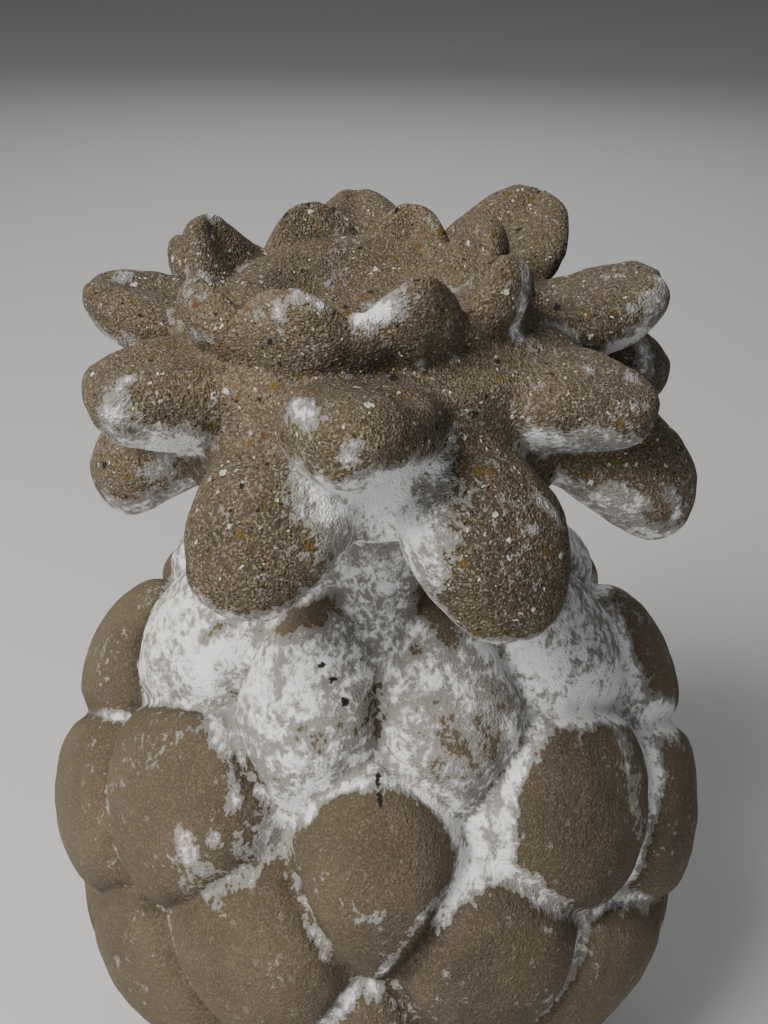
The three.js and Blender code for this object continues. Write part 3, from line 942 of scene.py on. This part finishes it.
def vertex_array(mesh, kind):
    values = np.empty(len(mesh.vertices) * 3, dtype=np.float32)
    mesh.vertices.foreach_get(kind, values)
    return values.reshape(-1, 3).astype(float)


def distance_to(points, start, end):
    """Distance of points to the straight piece from start to end."""
    along = end - start
    share = np.clip((points - start) @ along / max(along @ along, 1e-9), 0, 1)
    return np.linalg.norm(points - start - share[:, None] * along, axis=1)


def globe_paint(surface, ragged):
    """The globe: painted high up, lower down only along the grooves and most on its right side."""
    azimuth = surface.azimuth
    polar = surface.polar
    column = azimuth + uneven(azimuth + uneven(azimuth))
    _, row, nearest, margin = scale_under(column, np.clip(polar, LEAST_POLAR, 180 - LEAST_POLAR))
    upper_row = row < LIFTED_ROWS
    right = smoothstep(*RIGHT_BEGINS, azimuth) * (1 - smoothstep(*RIGHT_ENDS, azimuth))
    left = smoothstep(*LEFT_BEGINS, azimuth)
    thinning = 1 - smoothstep(*BANKS_THIN, polar)
    high = 1 - smoothstep(*HIGH_ENDS, polar)
    more = np.where(upper_row, UPPER_BANK_RIGHT * right + UPPER_BANK, LOWER_BANK_RIGHT * right + LOWER_BANK)
    reach = BANK_REACH + more * high - BANK_LESS_LEFT * left
    begins, ends = BANK_EDGE
    banks = 1 - smoothstep(reach * begins, reach * ends, margin)
    banks = banks * (BANK_PAINT + BANK_MORE_HIGH * thinning) * (1 - BANK_LESS_ON_LEFT * left)
    broken = smoothstep(*BANK_BREAKS, surface.cloud("banks") + BANKS_WHOLE_HIGH * high)
    corners = smoothstep(*CORNER_DISTANCE, nearest) * high * (1 - left) * CORNER_PAINT
    banks = np.maximum(banks * broken, corners)
    row_shift = np.where(upper_row, -COATED_ROW_SHIFT, COATED_ROW_SHIFT)
    coated = smoothstep(*COATED_ENDS, polar + COATED_RAGGEDNESS * ragged + row_shift)
    crease = (1 - smoothstep(*CREASE_WIDTH, margin)) * smoothstep(*CREASE_BREAKS, surface.cloud("creases"))
    bare = BARE_PAINT + BARE_MORE_RIGHT * right * thinning
    coat = (COATED_PAINT - LESS_LOWER * smoothstep(*LOWER_BEGINS, polar)) * coated
    return np.maximum(bare + banks, coat) - LESS_IN_CREASES * crease * coated


def crown_paint(surface, ragged):
    """The crown: painted undersides outside the bowl, and worn traces on rims and tips."""
    inside = smoothstep(*INSIDE_BEGINS, surface.level) * (surface.radius < INSIDE_RADIUS)
    under = smoothstep(*UNDER_FACING, surface.normal[:, 2]) * (1 - inside)
    traces = smoothstep(*TRACE_EDGE, surface.edge) * smoothstep(*TRACE_CLOUD, surface.cloud("traces"))
    return CROWN_PAINT + UNDERSIDE_PAINT * under + TRACE_PAINT * traces + CROWN_RAGGEDNESS * ragged


def surface_looks(mesh, casting):
    """Per vertex: likelihood of the paint, tone of the bare concrete with painted shade in its hollows and
    at shaded places, its stain, and the crown's grit.
    """
    surface = Surface(mesh, casting)
    crown = surface.crown
    ragged = surface.cloud("ragged")
    paint = (1 - crown) * globe_paint(surface, ragged) + crown * crown_paint(surface, ragged)
    paint = paint + GLOBE_RAGGEDNESS * ragged * (1 - crown)
    for stroke, reach, more in PAINT_STROKES:
        paint = paint + more * surface.near(stroke, reach)
    # Painted shade: the bare concrete is darkened in hollows, where ambient shade falls
    hollow_shade = smoothstep(*HOLLOW_SHADE_LEVELS, surface.hollow) * (HOLLOW_PAINTED_SHADE - HOLLOW_SHADE_LESS_ON_CROWN * crown)
    tone = USUAL_TONE + CLOUDY_TONE * surface.cloud("tone") - hollow_shade + EDGE_TONE * surface.edge
    # Painted shade at the listed places: the right front leaf and a right front scale of the globe are
    # darkened as if in soft shadow
    for middle, reach, less in PAINTED_SHADE_PLACES:
        tone = tone - less * surface.near((middle,), reach)
    stain = smoothstep(*STAINS, surface.cloud("stain")) * STAIN_STRENGTH
    return dict(paint=paint, tone=np.clip(tone, 0, 1), stain=stain, crown=crown)


def write_attribute(mesh, name, values):
    layer = mesh.attributes.new(name, "FLOAT", "POINT")
    layer.data.foreach_set("value", values.astype(np.float32))


def build_finial():
    casting = grow_casting()
    finial = make_piece("finial", casting)
    thin_out(finial)
    for face in finial.data.polygons:
        face.use_smooth = True
    for name, values in surface_looks(finial.data, casting).items():
        write_attribute(finial.data, name, values)
    finial.data.materials.append(painted_concrete())
    return finial


place_camera()
set_stage()
finial = build_finial()
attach(finial, "root")
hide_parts("pineapple_finial")
